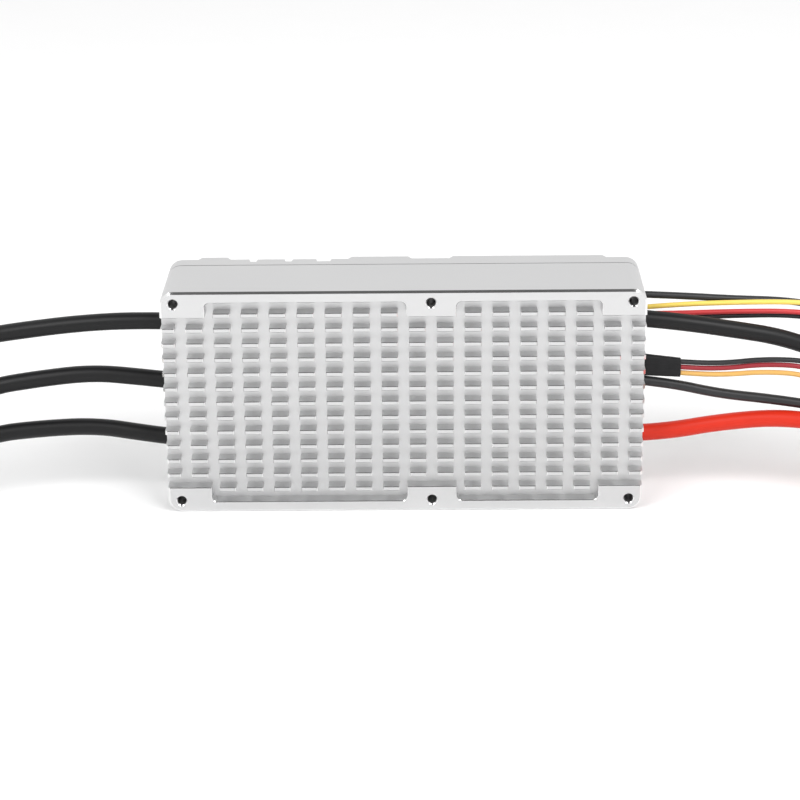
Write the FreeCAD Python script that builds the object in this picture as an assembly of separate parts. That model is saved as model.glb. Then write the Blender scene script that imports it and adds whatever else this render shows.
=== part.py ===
import FreeCAD, Part
import math
import os
from FreeCAD import Vector

# Electronic speed controller in a finned aluminium case, standing on one long edge.
# X runs along the case, Z up, and Y from the finned face (negative) to the cover.
# The origin is under the middle of the case. Everything is in millimetres.

# The case
LENGTH = 174.0
HEIGHT = 85.3
CASE_DEPTH = 31.0
CORNER = 5.2
FRONT_CHAMFER = 0.8
END_WALL = 3.5
SIDE_WALL = 3.2
BASE_WALL = 3.2

# The cooling blades milled into the front
FIN_DEPTH = 5.3
CUTTER = 4.0
EDGE_BREAK = 0.2
RIM = 4.1
ROWS = 13
COLUMN_PITCH = 10.0
COLUMN_GAPS = 17
BOSS_OVERLAP = 1.0

# The six mounting holes through case and cover
HOLE = 3.4
HOLE_MOUTH = 4.1
HOLE_EDGE = 4.5
HOLE_END = 4.9
MIDDLE_HOLE_X = 10.0
HOLE_BOSS = 8.8

# The cover and its seal
GASKET = 0.5
GASKET_INSET = 0.4
COVER_PLATE = 6.5
PAD_RISE = 3.0
PAD_SLOPE = 1.6
GROOVE_DEPTH = 2.6
COVER_CHAMFER = 0.5
LIP = 1.0
LIP_WIDTH = 1.6
LIP_CLEARANCE = 0.25
PADS = ((-76.0, -64.0), (-20.5, 3.0), (17.0, 75.0))
GROOVES = ((-55.5, 3.4), (-42.5, 3.4), (-29.5, 6.0))
LABEL_POCKET = (44.0, 34.0, 0.6)

# Cover screws
SCREW = 3.0
SCREW_HEAD = 5.5
SCREW_HEAD_HEIGHT = 3.0
SCREW_LENGTH = 10.0
SCREW_CLEARANCE = 0.2
COUNTERBORE = 3.2
SCREW_BOSS = 7.2
HEX = 2.5
LONG_EDGE_SCREWS_X = (-49.0, 46.0)
SCREW_EDGE = 4.4
SCREW_END = 4.2
END_SCREW_SPREAD = 25.5

# Boards and what they carry
PAD_THICK = 1.0
FET = (10.0, 2.3, 9.0)
FET_COLUMNS = 8
FET_COLUMN_PITCH = 16.0
FET_ROW_PITCH = 17.0
FET_EDGE = 17.0
BOARD = 2.4
BOARD_CLEARANCE = 5.8
CONTROL_BOARD = 1.6
STANDOFF = 7.7
STANDOFF_WIDTH = 5.0
BUSBAR = 1.5
BUSBAR_WIDTH = 8.0
CAN = 12.5
CAN_LENGTH = 25.0
LUG = 6.5
LUG_WIDTH = 8.0
BOARD_SCREW_HEAD = 5.0

# Wires
POWER_WIRE = 6.3
SIGNAL_WIRE = 1.9
DATA_CABLE = 2.6
LINK_CABLE = 3.7
GROMMET_WALL = 1.25

# Bullet connectors and plugs
CUP_WALL = 0.35
CUP_LENGTH = 8.0
BULLET = 5.5
BULLET_LENGTH = 12.0
SHRINK_WALL = 0.4
SERVO_PLUG = (14.0, 7.9, 2.6)
DATA_PLUG = (9.0, 7.4, 3.2)
LINK_PLUG = (10.0, 7.6, 4.4)
SERVO_PITCH = 2.54
SMALL_PITCH = 1.5

# What follows from them
FRONT = -(CASE_DEPTH + GASKET + COVER_PLATE + PAD_RISE) / 2
SEAM = FRONT + CASE_DEPTH
COVER = SEAM + GASKET
PLATE_BACK = COVER + COVER_PLATE
BACK = PLATE_BACK + PAD_RISE
FIN_FLOOR = FRONT + FIN_DEPTH
INSIDE = FIN_FLOOR + BASE_WALL
CUP = POWER_WIRE + 2 * CUP_WALL
HALF = LENGTH / 2
WALL_X = HALF - END_WALL
ROW_PITCH = (HEIGHT - 2 * RIM - CUTTER) / ROWS
BLADE = ROW_PITCH - CUTTER
FIRST_GAP_X = -COLUMN_PITCH * (COLUMN_GAPS - 1) / 2
HOLES = [
    (x, z)
    for x in (HOLE_END - HALF, MIDDLE_HOLE_X, HALF - HOLE_END)
    for z in (HOLE_EDGE, HEIGHT - HOLE_EDGE)
]
# The milled bosses round the holes reach a little past the blades beside them.
BOSS_SPANS = (
    (-HALF - 1, FIRST_GAP_X + COLUMN_PITCH - CUTTER / 2 + BOSS_OVERLAP),
    (MIDDLE_HOLE_X - COLUMN_PITCH + BOSS_OVERLAP, MIDDLE_HOLE_X + COLUMN_PITCH - BOSS_OVERLAP),
    (-FIRST_GAP_X - COLUMN_PITCH + CUTTER / 2 - BOSS_OVERLAP, HALF + 1),
)
SCREWS = [(x, z) for x in LONG_EDGE_SCREWS_X for z in (SCREW_EDGE, HEIGHT - SCREW_EDGE)]
SCREWS += [
    (side * (HALF - SCREW_END), HEIGHT / 2 + END_SCREW_SPREAD / 2 * way + 3.5)
    for side in (-1, 1)
    for way in (-1, 1)
]
PAD_BACK = INSIDE + PAD_THICK
BOARD_FRONT = PAD_BACK + FET[1]
BOARD_BACK = BOARD_FRONT + BOARD
CONTROL_FRONT = BOARD_BACK + STANDOFF
CONTROL_BACK = CONTROL_FRONT + CONTROL_BOARD
BOARD_LOW = SIDE_WALL + BOARD_CLEARANCE
BOARD_X = WALL_X - 6.5
BOARD_SCREWS = [(x, z) for x in (-52.0, 52.0) for z in (BOARD_LOW + 4, HEIGHT - BOARD_LOW - 4)]
CONTROL_SPAN = (8.0, BOARD_X - 1)
CONTROL_Z = (BOARD_LOW + 1, HEIGHT - BOARD_LOW - 1)
STANDOFFS = [(x, z) for x in (12.0, 59.0) for z in (CONTROL_Z[0] + 4, CONTROL_Z[1] - 4)]

# Each wire's route, from the inner face of the end wall to its far end. The first
# stretches are held out straight by the seal, then the wire sinks to the table.
MOTOR_WIRES = {
    "motor_wire_a": [
        (-83.5, -2, 68.2), (-98, -2, 68.6), (-117, -1, 67.4), (-138, 1, 64.3), (-157, 4, 60.4),
        (-173, 8, 49.5), (-185, 12, 35), (-197, 16, 20), (-209, 18.5, 9.7), (-221, 19.8, 5.1),
        (-232, 20.5, 4.2),
    ],
    "motor_wire_b": [
        (-83.5, -2, 44.8), (-97, -2, 46.5), (-115, -2, 48.3), (-135, -2, 46), (-155, -2, 42.6),
        (-173, -1.5, 31), (-187, -0.5, 17.5), (-200, 0.3, 8.3), (-212, 1, 4.7), (-223, 1.5, 4.2),
    ],
    "motor_wire_c": [
        (-83.5, -2, 22.3), (-96, -2, 24), (-114, -3, 27.6), (-134, -5, 27.5), (-154, -8, 26.3),
        (-172, -13, 18.5), (-187, -17.5, 10), (-201, -21.5, 5.1), (-215, -25, 4.2),
    ],
}
BATTERY_WIRES = {
    "battery_wire_negative": [
        (83.5, -2, 68.4), (98, -2, 67), (118, -1, 63.6), (140, 1, 59.2), (160, 4, 50),
        (176, 7, 36), (189, 9.3, 21.5), (200, 10.5, 11.5), (211, 11, 6.1), (223, 11.3, 4.2),
    ],
    "battery_wire_positive": [
        (83.5, -2, 22.9), (97, -2, 23.5), (116, -3.5, 27.6), (138, -7, 31), (158, -12, 29.8),
        (175, -18.5, 22), (187, -23.6, 12.5), (199, -27.6, 6.4), (210, -30, 4.5),
        (221, -31, 4.2),
    ],
}
THROTTLE_WIRES = {
    "throttle_wire_yellow": [
        (83.5, 6, 69.2), (99, 6, 70.5), (120, 6.5, 71), (142, 7.5, 70.8), (159, 10, 68.5),
        (171, 12.5, 58), (178, 14, 42), (183, 15.2, 25), (190, 15.9, 10.5), (201, 16.7, 2.3),
        (213, 17.3, 1.2), (222.5, 17, 1.2), (230.4, 17.2, 1.2), (236.8, 23.3, 1.2),
        (236.8, 32.3, 1.2), (230.4, 38.4, 1.2), (222, 38.8, 1.2), (211, 38.3, 1.2),
    ],
    "throttle_wire_red": [
        (83.5, 6, 67.1), (99, 6, 67.1), (120, 6.5, 67.5), (142, 7.5, 67.2), (157, 10, 64.5),
        (169, 13, 54.5), (176, 15, 40), (181, 16.7, 24), (188, 17.9, 10.5), (200, 18.7, 2.3),
        (213, 19.3, 1.2), (222.5, 19, 1.2), (229.6, 19.2, 1.2), (234.7, 24.1, 1.2),
        (234.7, 31.5, 1.2), (229.6, 36.4, 1.2), (222, 36.8, 1.2), (211, 36.3, 1.2),
    ],
    "throttle_wire_black": [
        (83.5, 6, 65), (99, 6.6, 65), (120, 7.5, 65.5), (142, 9, 65.2), (156, 11.5, 62.2),
        (167, 14.5, 52), (174, 17, 38), (179, 18.7, 23), (186, 19.9, 10.5), (199, 20.7, 2.3),
        (213, 21.3, 1.2), (222.5, 21, 1.2), (228.9, 21.1, 1.2), (232.7, 24.9, 1.2),
        (232.7, 30.7, 1.2), (228.9, 34.5, 1.2), (222, 34.8, 1.2), (211, 34.3, 1.2),
    ],
}
PROGRAM_WIRES = {
    "program_wire_black": [
        (83.5, -2, 52.6), (99, -2, 51.2), (116, -2, 50.2), (133, -2, 52), (151, -2.5, 51),
        (166, -2.5, 42), (176, -1.5, 28), (185, -0.5, 13), (197, 0.1, 2.7), (210, 0.3, 1.2),
        (219, 0, 1.2), (226.4, 0.2, 1.2), (232.8, -5.9, 1.2), (232.8, -15.3, 1.2),
        (226.4, -21.4, 1.2), (219, -21.8, 1.2), (210, -21.3, 1.2),
    ],
    "program_wire_red": [
        (83.5, -2, 50.5), (99, -2, 49.1), (116, -2, 48.1), (133, -2, 50), (150, -3, 49),
        (164, -3.5, 40), (174, -3, 26), (183, -2.5, 12), (196, -1.9, 2.5), (210, -1.7, 1.2),
        (219, -2, 1.2), (225.6, -1.8, 1.2), (230.7, -6.7, 1.2), (230.7, -14.5, 1.2),
        (225.6, -19.4, 1.2), (219, -19.8, 1.2), (210, -19.3, 1.2),
    ],
    "program_wire_yellow": [
        (83.5, -2, 48.4), (99, -2, 46.9), (116, -2, 45.7), (133, -2, 47), (149, -3.3, 46),
        (162, -4.5, 37.5), (172, -4.7, 24), (181, -4.4, 11), (195, -3.9, 2.4), (210, -3.7, 1.2),
        (219, -4, 1.2), (224.7, -3.9, 1.2), (228.6, -7.7, 1.2), (228.6, -13.5, 1.2),
        (224.7, -17.3, 1.2), (219, -17.7, 1.2), (210, -17.3, 1.2),
    ],
}
DATA_ROUTE = [
    (83.5, 7, 74.4), (102, 7.5, 73.4), (121, 9.3, 71.5), (142, 12, 69.8), (156, 15, 66),
    (168, 18.5, 55), (176, 21.5, 39), (183, 23.8, 23), (192, 25.8, 9.2), (205, 27.2, 2.5),
    (218, 27.6, 1.6),
]
LINK_ROUTE = [
    (83.5, -2, 44.4), (98, -2.5, 42.9), (116, -3.5, 39), (136, -4.5, 37), (155, -6.5, 34.5),
    (171, -8.5, 24.5), (185, -9.8, 12.2), (198, -10.2, 4.4), (211, -10.4, 2.2),
]


def box(x0, x1, y0, y1, z0, z1):
    """A block between two corners."""
    return Part.makeBox(x1 - x0, y1 - y0, z1 - z0, Vector(x0, y0, z0))


def rod(x, z, y0, y1, diameter):
    """A round bar along Y."""
    return Part.makeCylinder(diameter / 2, y1 - y0, Vector(x, y0, z), Vector(0, 1, 0))


def rounded_plate(x0, x1, y0, y1, z0, z1, radius):
    """A plate across Y with four rounded corners."""
    block = box(x0, x1, y0, y1, z0, z1)
    return block.makeFillet(radius, edges_along(block, "y"))


def edges_along(shape, axis):
    """The straight edges of a shape that run along one axis."""
    found = []
    for edge in shape.Edges:
        way = edge.tangentAt(edge.FirstParameter)
        if edge.Curve.TypeId == "Part::GeomLine" and abs(getattr(way, axis)) > 0.999:
            found.append(edge)
    return found


def edges_at(shape, axis, value):
    """The edges of a shape that lie wholly in one plane across an axis."""
    found = []
    for edge in shape.Edges:
        limits = edge.BoundBox
        low = getattr(limits, axis.upper() + "Min")
        high = getattr(limits, axis.upper() + "Max")
        if abs(low - value) < 1e-4 and abs(high - value) < 1e-4:
            found.append(edge)
    return found


def cavity(y0, y1, inset=0.0):
    """The hollow of the case, with the bosses of holes and screws left standing in it."""
    room = rounded_plate(
        -WALL_X + inset, WALL_X - inset, y0, y1,
        SIDE_WALL + inset, HEIGHT - SIDE_WALL - inset, 3.0,
    )
    bosses = [rod(x, z, y0, y1, HOLE_BOSS + 2 * inset) for x, z in HOLES]
    bosses += [rod(x, z, y0, y1, SCREW_BOSS + 2 * inset) for x, z in SCREWS]
    return room.cut(bosses)


def milled_slot(low, high, start, end, axis):
    """A straight slot in the front whose mouth is broken by a small chamfer on both edges."""
    mouth = FRONT + EDGE_BREAK
    outline = [
        (low, FIN_FLOOR), (low, mouth), (low - EDGE_BREAK, FRONT), (low - EDGE_BREAK, FRONT - 1),
        (high + EDGE_BREAK, FRONT - 1), (high + EDGE_BREAK, FRONT), (high, mouth),
        (high, FIN_FLOOR),
    ]
    if axis == "x":
        corners = [Vector(start, y, at) for at, y in outline]
        way = Vector(end - start, 0, 0)
    else:
        corners = [Vector(at, y, start) for at, y in outline]
        way = Vector(0, 0, end - start)
    return Part.Face(Part.makePolygon(corners + corners[:1])).extrude(way)


def round_ended_slot(x0, x1, z0, z1):
    """A slot in the front along X with the cutter's round ends and the same broken mouth."""
    radius = (z1 - z0) / 2
    parts = [milled_slot(z0, z1, x0 + radius, x1 - radius, "x")]
    for x in (x0 + radius, x1 - radius):
        z = (z0 + z1) / 2
        parts.append(rod(x, z, FRONT, FIN_FLOOR, 2 * radius))
        parts.append(rod(x, z, FRONT - 1, FRONT, 2 * (radius + EDGE_BREAK)))
        parts.append(Part.makeCone(
            radius + EDGE_BREAK, radius, EDGE_BREAK, Vector(x, FRONT, z), Vector(0, 1, 0)
        ))
    return parts[0].fuse(parts[1:]).removeSplitter()


def fin_cutters():
    """Everything the cutter takes out of the front: slots along X and along Z."""
    cutters = []
    for row in range(1, ROWS):
        low = RIM + row * ROW_PITCH
        cutters.append(milled_slot(low, low + CUTTER, -HALF - 1, HALF + 1, "x"))
    for left, right in zip(BOSS_SPANS[:-1], BOSS_SPANS[1:]):
        for low in (RIM, HEIGHT - RIM - CUTTER):
            cutters.append(round_ended_slot(left[1], right[0], low, low + CUTTER))
    inner = (RIM + ROW_PITCH + CUTTER / 2, HEIGHT - RIM - ROW_PITCH - CUTTER / 2)
    outer = (RIM + CUTTER / 2, HEIGHT - RIM - CUTTER / 2)
    for number in range(COLUMN_GAPS):
        x0 = FIRST_GAP_X + number * COLUMN_PITCH - CUTTER / 2
        x1 = x0 + CUTTER
        cutters.append(milled_slot(x0, x1, *inner, "z"))
        for start, end in BOSS_SPANS:
            if start < x1 and end > x0:
                x0, x1 = (end, x1) if end < x1 else (x0, start)
        if x1 > x0:
            cutters.append(milled_slot(x0, x1, *outer, "z"))
    return cutters


def wire_hole(x0, x1, y, z, width, height):
    """A round or oval opening along X for a wire seal."""
    if abs(width - height) < 1e-6:
        return Part.makeCylinder(width / 2, x1 - x0, Vector(x0, y, z), Vector(1, 0, 0))
    half = (height - width) / 2
    body = box(x0, x1, y - width / 2, y + width / 2, z - half, z + half)
    ends = [
        Part.makeCylinder(width / 2, x1 - x0, Vector(x0, y, z + way * half), Vector(1, 0, 0))
        for way in (-1, 1)
    ]
    return body.fuse(ends).removeSplitter()


def seal_sizes():
    """Each wire seal: its name, side, the wires through it, middle, width and height."""
    power = POWER_WIRE + 2 * GROMMET_WALL
    signal = SIGNAL_WIRE + 2 * GROMMET_WALL - 0.4
    seals = []
    for name, route in MOTOR_WIRES.items():
        seals.append(("motor_seals", -1, [(route, POWER_WIRE)], route[0][1:], power, power))
    for name, route in BATTERY_WIRES.items():
        seals.append(("battery_seals", 1, [(route, POWER_WIRE)], route[0][1:], power, power))
    throttle = list(THROTTLE_WIRES.values())
    seals.append((
        "throttle_seal", 1, [(route, SIGNAL_WIRE) for route in throttle],
        throttle[1][0][1:], signal, signal + throttle[0][0][2] - throttle[2][0][2],
    ))
    data = DATA_CABLE + 2.2
    seals.append(("data_seal", 1, [(DATA_ROUTE, DATA_CABLE)], DATA_ROUTE[0][1:], data, data))
    program = list(PROGRAM_WIRES.values())
    low = LINK_ROUTE[0][2] - LINK_CABLE / 2 - 1.1
    high = program[0][0][2] + SIGNAL_WIRE / 2 + 1.3
    wires = [(route, SIGNAL_WIRE) for route in program] + [(LINK_ROUTE, LINK_CABLE)]
    middle = (LINK_ROUTE[0][1], (low + high) / 2)
    seals.append(("program_seal", 1, wires, middle, LINK_CABLE + 2.0, high - low))
    return seals


def heatsink_case():
    """Milled aluminium case: finned front, walls, bosses, mounting holes and wire openings."""
    body = rounded_plate(-HALF, HALF, FRONT, SEAM, 0, HEIGHT, CORNER)
    body = body.makeChamfer(FRONT_CHAMFER, edges_at(body, "y", FRONT))
    body = body.cut(cavity(INSIDE, SEAM + 1))
    body = body.cut(fin_cutters())
    posts = [rod(x, z, INSIDE, BOARD_FRONT, SCREW_BOSS) for x, z in BOARD_SCREWS]
    body = body.fuse(posts)
    mouth = (HOLE_MOUTH - HOLE) / 2
    holes = []
    for x, z in HOLES:
        holes.append(rod(x, z, FRONT - 1, SEAM + 1, HOLE))
        cone = Part.makeCone(
            HOLE_MOUTH / 2, HOLE / 2, mouth, Vector(x, FRONT, z), Vector(0, 1, 0)
        )
        holes.append(cone)
    holes += [rod(x, z, screw_tip(), SEAM + 1, SCREW) for x, z in SCREWS]
    holes += [rod(x, z, INSIDE - 1, BOARD_FRONT + 1, SCREW) for x, z in BOARD_SCREWS]
    for name, side, wires, (y, z), width, height in seal_sizes():
        x0 = min(side * (WALL_X - 0.5), side * (HALF + 1))
        x1 = max(side * (WALL_X - 0.5), side * (HALF + 1))
        holes.append(wire_hole(x0, x1, y, z, width, height))
    return body.cut(holes)


def cover_gasket():
    """Thin rubber seal between case and cover."""
    plate = rounded_plate(
        -HALF + GASKET_INSET, HALF - GASKET_INSET, SEAM, COVER,
        GASKET_INSET, HEIGHT - GASKET_INSET, CORNER - GASKET_INSET,
    )
    holes = [rod(x, z, SEAM - 1, COVER + 1, HOLE) for x, z in HOLES]
    holes += [rod(x, z, SEAM - 1, COVER + 1, SCREW) for x, z in SCREWS]
    return plate.cut(cavity(SEAM - 1, COVER + 1)).cut(holes)


def cover_pad(x0, x1):
    """One raised pad of the cover, over its whole height, with sloped flanks."""
    corners = [
        Vector(x0, PLATE_BACK - 0.5, 0), Vector(x0, PLATE_BACK, 0),
        Vector(x0 + PAD_SLOPE, BACK, 0), Vector(x1 - PAD_SLOPE, BACK, 0),
        Vector(x1, PLATE_BACK, 0), Vector(x1, PLATE_BACK - 0.5, 0),
    ]
    face = Part.Face(Part.makePolygon(corners + corners[:1]))
    return face.extrude(Vector(0, 0, HEIGHT))


def back_cover():
    """Milled cover: a plate with three raised pads, three grooves, a lip and screw seats."""
    plate = rounded_plate(-HALF, HALF, COVER, BACK, 0, HEIGHT, CORNER)
    room = box(-HALF - 1, HALF + 1, PLATE_BACK, BACK + 1, -1, HEIGHT + 1)
    pads = [cover_pad(*span) for span in PADS]
    body = plate.cut(room.cut(pads))
    ends = [edge for edge in edges_at(body, "y", BACK) if abs(edge.BoundBox.ZLength) < 1e-4]
    body = body.makeChamfer(COVER_CHAMFER, ends)
    for x, width in GROOVES:
        corners = [
            Vector(x - width / 2, PLATE_BACK + 1, -1),
            Vector(x - width / 2 + 0.6, PLATE_BACK - GROOVE_DEPTH, -1),
            Vector(x + width / 2 - 0.6, PLATE_BACK - GROOVE_DEPTH, -1),
            Vector(x + width / 2, PLATE_BACK + 1, -1),
        ]
        face = Part.Face(Part.makePolygon(corners + corners[:1]))
        body = body.cut(face.extrude(Vector(0, 0, HEIGHT + 2)))
    length, height, depth = LABEL_POCKET
    x = (PADS[2][0] + PADS[2][1]) / 2
    z = HEIGHT / 2
    pocket = rounded_plate(
        x - length / 2, x + length / 2, BACK - depth, BACK + 1, z - height / 2, z + height / 2, 3.0
    )
    body = body.cut(pocket)
    lip = cavity(COVER - LIP, COVER, LIP_CLEARANCE)
    hollow = rounded_plate(
        -WALL_X + LIP_WIDTH, WALL_X - LIP_WIDTH, COVER - LIP - 1, COVER,
        SIDE_WALL + LIP_WIDTH, HEIGHT - SIDE_WALL - LIP_WIDTH, 2.0,
    )
    body = body.fuse(lip.cut(hollow).Solids)
    holes = [rod(x, z, COVER - 2, BACK + 1, HOLE) for x, z in HOLES]
    seat = screw_seat()
    for x, z in SCREWS:
        holes.append(rod(x, z, COVER - 2, BACK + 1, SCREW + 2 * SCREW_CLEARANCE))
        holes.append(rod(x, z, seat, BACK + 1, SCREW_HEAD + 2 * SCREW_CLEARANCE))
    return body.cut(holes)


def screw_seat():
    """Where the heads of the cover screws bear."""
    return PLATE_BACK - COUNTERBORE


def screw_tip():
    """Where the cover screws end, inside their bosses."""
    return screw_seat() - SCREW_LENGTH


def socket_screw(x, z, seat, length, head, head_height, shank):
    """A cap screw along Y with a hexagon socket, its head towards the cover side."""
    body = rod(x, z, seat - length, seat, shank)
    top = rod(x, z, seat, seat + head_height, head)
    top = top.makeChamfer(0.25, edges_at(top, "y", seat + head_height))
    corners = []
    for number in range(6):
        turn = math.radians(60 * number)
        reach = HEX / 2 / math.cos(math.radians(30))
        corners.append(Vector(x + reach * math.cos(turn), seat + 1.2, z + reach * math.sin(turn)))
    face = Part.Face(Part.makePolygon(corners + corners[:1]))
    socket = face.extrude(Vector(0, head_height, 0))
    return body.fuse(top).cut(socket).removeSplitter()


def cover_screws():
    """The eight screws that hold the cover."""
    seat = screw_seat()
    return [
        socket_screw(x, z, seat, SCREW_LENGTH, SCREW_HEAD, SCREW_HEAD_HEIGHT, SCREW)
        for x, z in SCREWS
    ]


def seals(wanted):
    """Rubber wire seals of one name, flush in the end wall, with a bore for each wire."""
    made = []
    for name, side, wires, (y, z), width, height in seal_sizes():
        if name != wanted:
            continue
        x0 = min(side * WALL_X, side * HALF)
        x1 = max(side * WALL_X, side * HALF)
        body = wire_hole(x0, x1, y, z, width, height)
        body = body.cut([tube(route[:4], diameter) for route, diameter in wires])
        made.append(body)
    return made


def thermal_pad():
    """Silicone pad between the transistors and the case."""
    reach = FET_COLUMNS * FET_COLUMN_PITCH / 2 + 2
    return box(-reach, reach, INSIDE, PAD_BACK, 18, HEIGHT - 18)


def power_transistors():
    """The power transistors on the front of the power board, in as many rows as it has room for."""
    made = []
    rows = int((HEIGHT - 2 * FET_EDGE) / FET_ROW_PITCH)
    for row in range(rows):
        for column in range(FET_COLUMNS):
            x = (column - (FET_COLUMNS - 1) / 2) * FET_COLUMN_PITCH
            z = HEIGHT / 2 + (row - (rows - 1) / 2) * FET_ROW_PITCH
            body = box(
                x - FET[0] / 2, x + FET[0] / 2, PAD_BACK, BOARD_FRONT, z - FET[2] / 2, z + FET[2] / 2
            )
            lead = box(x - 4.5, x + 4.5, BOARD_FRONT - 0.5, BOARD_FRONT, z - 6.5, z - FET[2] / 2)
            made.append(body.fuse(lead))
    return made


def power_board():
    """The thick copper board that carries the power stage."""
    board = box(-BOARD_X, BOARD_X, BOARD_FRONT, BOARD_BACK, BOARD_LOW, HEIGHT - BOARD_LOW)
    return board.cut([rod(x, z, BOARD_FRONT - 1, BOARD_BACK + 1, SCREW) for x, z in BOARD_SCREWS])


def board_screws():
    """Screws that hold the power board on its posts."""
    depth = BOARD_BACK - INSIDE + 1
    return [
        socket_screw(x, z, BOARD_BACK, depth, BOARD_SCREW_HEAD, 2.0, SCREW)
        for x, z in BOARD_SCREWS
    ]


def lug(route, side):
    """A copper block on the board that a power wire is soldered to."""
    y, z = route[0][1:]
    x0 = min(side * (WALL_X - LUG), side * WALL_X)
    x1 = max(side * (WALL_X - LUG), side * WALL_X)
    block = box(x0, x1, BOARD_FRONT, y + LUG_WIDTH / 2, z - LUG_WIDTH / 2, z + LUG_WIDTH / 2)
    foot0 = min(side * (WALL_X - LUG - 12), side * (WALL_X - LUG + 1))
    foot1 = max(side * (WALL_X - LUG - 12), side * (WALL_X - LUG + 1))
    foot = box(foot0, foot1, BOARD_BACK, BOARD_BACK + BUSBAR, z - 3, z + 3)
    return block.fuse(foot).removeSplitter().cut(tube(route[:4], POWER_WIRE))


def busbar(route, low):
    """A copper bar along the board from one battery wire's lug."""
    x0 = -BOARD_X + 16
    x1 = WALL_X - LUG - 6
    bar = box(x0, x1, BOARD_BACK, BOARD_BACK + BUSBAR, low, low + BUSBAR_WIDTH)
    return bar.fuse(lug(route, 1)).removeSplitter()


def capacitors():
    """Electrolytic cans lying side by side across the busbars."""
    made = []
    y = BOARD_BACK + BUSBAR + 0.1 + CAN / 2
    for column in range(5):
        x = -60.0 + 13.4 * column
        for z in (HEIGHT / 2 - CAN_LENGTH - 1.5, HEIGHT / 2 + 1.5):
            body = Part.makeCylinder(CAN / 2, CAN_LENGTH, Vector(x, y, z), Vector(0, 0, 1))
            ring = Part.makeTorus(CAN / 2 + 0.2, 0.7, Vector(x, y, z + 3), Vector(0, 0, 1))
            made.append(body.cut(ring))
    return made


def control_board():
    """The thin board with the processor, on standoffs over the power board."""
    board = box(CONTROL_SPAN[0], CONTROL_SPAN[1], CONTROL_FRONT, CONTROL_BACK, *CONTROL_Z)
    return board.cut([rod(x, z, CONTROL_FRONT - 1, CONTROL_BACK + 1, SCREW) for x, z in STANDOFFS])


def standoffs():
    """Posts between the two boards."""
    return [rod(x, z, BOARD_BACK, CONTROL_FRONT, STANDOFF_WIDTH) for x, z in STANDOFFS]


def control_board_screws():
    """Screws that hold the control board on its standoffs."""
    return [
        socket_screw(x, z, CONTROL_BACK, CONTROL_BOARD, BOARD_SCREW_HEAD, 1.9, SCREW)
        for x, z in STANDOFFS
    ]


def chips(places, size, face):
    """Flat packages on a board's back face."""
    return [
        box(x - size[0] / 2, x + size[0] / 2, face, face + size[1], z - size[2] / 2, z + size[2] / 2)
        for x, z in places
    ]


def signal_sockets():
    """Board sockets that the signal leads end in, on both faces of the control board."""
    made = []
    wires = [*THROTTLE_WIRES.values(), *PROGRAM_WIRES.values()]
    tubes = [tube(route[:4], SIGNAL_WIRE) for route in wires]
    tubes += [tube(DATA_ROUTE[:4], DATA_CABLE), tube(LINK_ROUTE[:4], LINK_CABLE)]
    x0 = CONTROL_SPAN[1] - 5
    z = THROTTLE_WIRES["throttle_wire_red"][0][2]
    made.append(box(x0, WALL_X, CONTROL_BACK, CONTROL_BACK + 4.5, z - 3.6, z + 3.6))
    z = DATA_ROUTE[0][2]
    y = DATA_ROUTE[0][1]
    made.append(box(x0, WALL_X, CONTROL_BACK, y + DATA_CABLE / 2 + 0.2, z - 1.9, z + 1.6))
    z = PROGRAM_WIRES["program_wire_red"][0][2]
    made.append(box(x0, WALL_X, CONTROL_FRONT - 4.6, CONTROL_FRONT, z - 3.3, z + 3.3))
    z = LINK_ROUTE[0][2]
    made.append(box(x0, WALL_X, CONTROL_FRONT - 5.4, CONTROL_FRONT, z - 2.1, z + 2.1))
    return [block.cut(tubes) for block in made]


def tube(points, diameter, told=None):
    """A round cord: straight runs joined by the largest tangent arcs they allow."""
    corners = [Vector(*point) for point in points]
    runs = [b - a for a, b in zip(corners[:-1], corners[1:])]
    edges = []
    start = corners[0]
    length = 0.0
    for before, after, corner in zip(runs[:-1], runs[1:], corners[1:-1]):
        turn = before.getAngle(after)
        trim = 0.45 * min(before.Length, after.Length)
        radius = trim / math.tan(turn / 2)
        into = Vector(before).normalize()
        out = Vector(after).normalize()
        first = corner - into * trim
        last = corner + out * trim
        inward = (out - into).normalize()
        middle = corner + inward * (math.hypot(radius, trim) - radius)
        edges.append(Part.LineSegment(start, first).toShape())
        edges.append(Part.Arc(first, middle, last).toShape())
        length += (first - start).Length + radius * turn
        start = last
        if told is not None:
            told.append(radius)
    edges.append(Part.LineSegment(start, corners[-1]).toShape())
    length += (corners[-1] - start).Length
    path = Part.Wire(edges)
    ring = Part.Wire(Part.Circle(corners[0], runs[0], diameter / 2).toShape())
    solid = path.makePipeShell([ring], True, False)
    if told is not None:
        expected = math.pi * diameter**2 / 4 * length
        print(
            f"  length {length:.1f} radii {', '.join(f'{r:.1f}' for r in told)}"
            f" least {min(told) / diameter:.2f} diameters, volume {solid.Volume / expected:.4f}"
        )
    return solid


def placed(shape, route):
    """A shape built along +X from the origin, moved to a route's end and pointed onwards."""
    last = Vector(*route[-1])
    way = last - Vector(*route[-2])
    turn = math.degrees(math.atan2(way.y, way.x))
    moved = shape.copy()
    moved.rotate(Vector(0, 0, 0), Vector(0, 0, 1), turn)
    moved.translate(last)
    return moved


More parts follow.
